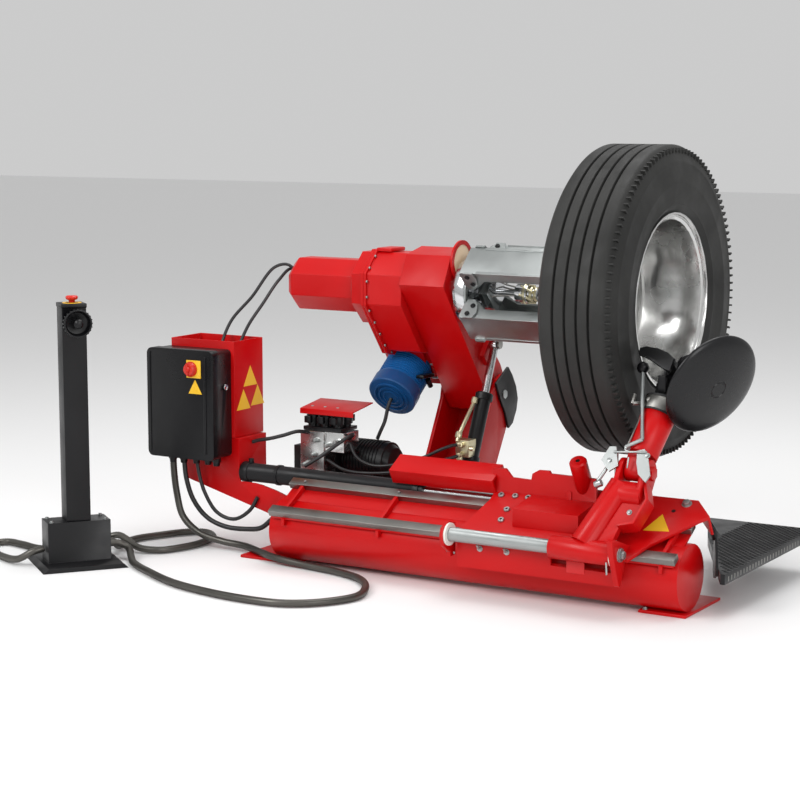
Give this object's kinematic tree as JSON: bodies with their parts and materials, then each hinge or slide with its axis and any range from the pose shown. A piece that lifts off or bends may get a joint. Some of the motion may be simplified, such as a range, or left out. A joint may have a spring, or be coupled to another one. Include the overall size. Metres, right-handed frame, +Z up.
{
  "type": "truck tire changer",
  "caption": "Floor-standing truck tyre changer: sloping bed on a round base tube, lifting chuck arm with clamped wheel, sliding carriage with tool arm, hydraulic pack, and a pedestal control.",
  "frame": {"origin": "on the floor under the right end of the base tube axis", "axes": "+X runs along the base tube towards its right end, +Y to the back, +Z up"},
  "size_m": [2.732, 1.654, 1.481],
  "materials": {
    "red_paint": "gloss",
    "black_paint": "satin",
    "steel": "brushed",
    "zinc": "satin",
    "chrome": "polished",
    "aluminium": "satin",
    "blue_paint": "satin",
    "tyre_rubber": "matte",
    "dark_steel": "satin",
    "cream_zinc": "satin",
    "black_plastic": "matte",
    "red_plastic": "gloss",
    "cable_rubber": "satin"
  },
  "bodies": {
    "base": {"base_tube": "red_paint", "bed_plate": "red_paint", "front_rail": "steel", "rear_rail": "steel", "right_foot": "red_paint", "rear_frame": "red_paint", "column": "red_paint", "hinge_guard": "dark_steel", "hinge_pin": "steel", "control_post": "red_paint", "control_bracket": "red_paint", "control_box": "black_paint", "oil_tank": "black_paint", "valve_block": "aluminium", "valve_coils": "black_paint", "pack_cover": "red_paint", "pump_motor": "black_paint", "pedestal_base": "black_paint", "pedestal_post": "black_paint", "joystick_cup": "black_plastic", "slide_barrel": "black_paint", "lift_bracket": "red_paint", "conduit_main": "cable_rubber", "conduit_loop": "cable_rubber"},
    "switch": {"switch_knob": "red_plastic"},
    "test_button": {"side_button": "chrome"},
    "stop": {"stop_button": "red_plastic"},
    "joystick": {"joystick_lever": "black_plastic"},
    "arm": {"chuck_arm": "red_paint", "gear_case_left": "red_paint", "gear_case_right": "red_paint", "chuck_cylinder": "red_paint", "drive_motor": "blue_paint", "lift_eye_pin": "steel", "cylinder_hose": "cable_rubber", "motor_cable": "cable_rubber"},
    "lift_cylinder": {"lift_barrel": "black_paint", "lift_manifold": "cream_zinc"},
    "lift_piston": {"lift_rod": "chrome"},
    "chuck": {"spindle": "chrome", "bull_gear": "steel", "rim": "aluminium", "wheel_disc": "aluminium", "tyre": "tyre_rubber"},
    "carriage": {"carriage_plate": "red_paint", "peg": "red_paint", "pivot_shaft": "steel", "footplate": "black_paint", "slide_rod": "chrome"},
    "tool_arm": {"tool_arm_base": "red_paint", "tool_arm_tube": "red_paint", "arm_collar": "dark_steel"},
    "tool_top": {"tool_head": "dark_steel", "mounting_claw": "dark_steel"},
    "disc": {"bead_disc": "black_paint"},
    "lever": {"lock_lever": "zinc"},
    "jaw1": {"jaw_1": "zinc"},
    "jaw2": {"jaw_2": "zinc"},
    "jaw3": {"jaw_3": "zinc"},
    "jaw4": {"jaw_4": "zinc"}
  },
  "joints": [
    {"name": "arm_lift", "type": "hinge", "parent": "base", "child": "arm", "pos_m": [-1.2, 0.747, 0.541], "axis": [-1, 0, 0], "range_deg": [-10, 18], "deforming": ["cylinder_hose", "motor_cable"]},
    {"name": "lift_swing", "type": "hinge", "parent": "base", "child": "lift_cylinder", "pos_m": [-1.064, 0.4455, 0.285], "axis": [-1, 0, 0], "range_deg": [-3, 5.5]},
    {"name": "lift_stroke", "type": "slide", "parent": "lift_cylinder", "child": "lift_piston", "axis": [0, 0.4046, 0.9145], "range_m": [-0.029, 0.052]},
    {"name": "chuck_spin", "type": "hinge", "parent": "arm", "child": "chuck", "pos_m": [-1, 0.48, 0.949], "axis": [1, 0, 0], "continuous": true},
    {"name": "carriage_slide", "type": "slide", "parent": "base", "child": "carriage", "axis": [1, 0, 0], "range_m": [0, 0.15]},
    {"name": "tool_arm_tilt", "type": "hinge", "parent": "carriage", "child": "tool_arm", "pos_m": [-0.3, -0.176, 0.208], "axis": [1, 0, 0], "range_deg": [0, 80]},
    {"name": "tool_turn", "type": "hinge", "parent": "tool_arm", "child": "tool_top", "pos_m": [-0.166, 0.15328, 0.66104], "axis": [0.1172, 0.5839, 0.8033], "range_deg": [0, 60]},
    {"name": "disc_spin", "type": "hinge", "parent": "tool_top", "child": "disc", "pos_m": [0.004, 0.148, 0.719], "axis": [0.8256, -0.4118, -0.3858], "continuous": true},
    {"name": "lever_pull", "type": "hinge", "parent": "tool_arm", "child": "lever", "pos_m": [-0.212, -0.02036, 0.52761], "axis": [1, 0, 0], "range_deg": [0, 20]},
    {"name": "switch_turn", "type": "hinge", "parent": "base", "child": "switch", "pos_m": [-1.927, -0.06, 0.668], "axis": [0, -1, 0], "range_deg": [-90, 0]},
    {"name": "test_press", "type": "slide", "parent": "base", "child": "test_button", "axis": [1, 0, 0], "range_m": [-0.003, 0], "stiffness_N_per_m": 800},
    {"name": "stop_press", "type": "slide", "parent": "base", "child": "stop", "axis": [0, 0, -1], "range_m": [0, 0.005], "stiffness_N_per_m": 1500},
    {"name": "joystick_tilt", "type": "hinge", "parent": "base", "child": "joystick", "pos_m": [-2.11282, -0.46616, 0.862], "axis": [0.6088, 0.7934, 0], "range_deg": [-12, 12], "stiffness_Nm_per_rad": 2},
    {"name": "jaw_slide_1", "type": "slide", "parent": "chuck", "child": "jaw1", "axis": [0, 0.7071, 0.7071], "range_m": [-0.02, 0]},
    {"name": "jaw_slide_2", "type": "slide", "parent": "chuck", "child": "jaw2", "axis": [0, -0.7071, 0.7071], "range_m": [-0.02, 0]},
    {"name": "jaw_slide_3", "type": "slide", "parent": "chuck", "child": "jaw3", "axis": [0, -0.7071, -0.7071], "range_m": [-0.02, 0]},
    {"name": "jaw_slide_4", "type": "slide", "parent": "chuck", "child": "jaw4", "axis": [0, 0.7071, -0.7071], "range_m": [-0.02, 0]}
  ],
  "couplings": [
    {"joint": "lift_swing", "follows": "arm_lift", "ratio": 0.295},
    {"joint": "lift_stroke", "follows": "arm_lift", "m_per_rad": 0.165},
    {"joint": "jaw_slide_2", "follows": "jaw_slide_1", "ratio": 1},
    {"joint": "jaw_slide_3", "follows": "jaw_slide_1", "ratio": 1},
    {"joint": "jaw_slide_4", "follows": "jaw_slide_1", "ratio": 1}
  ]
}
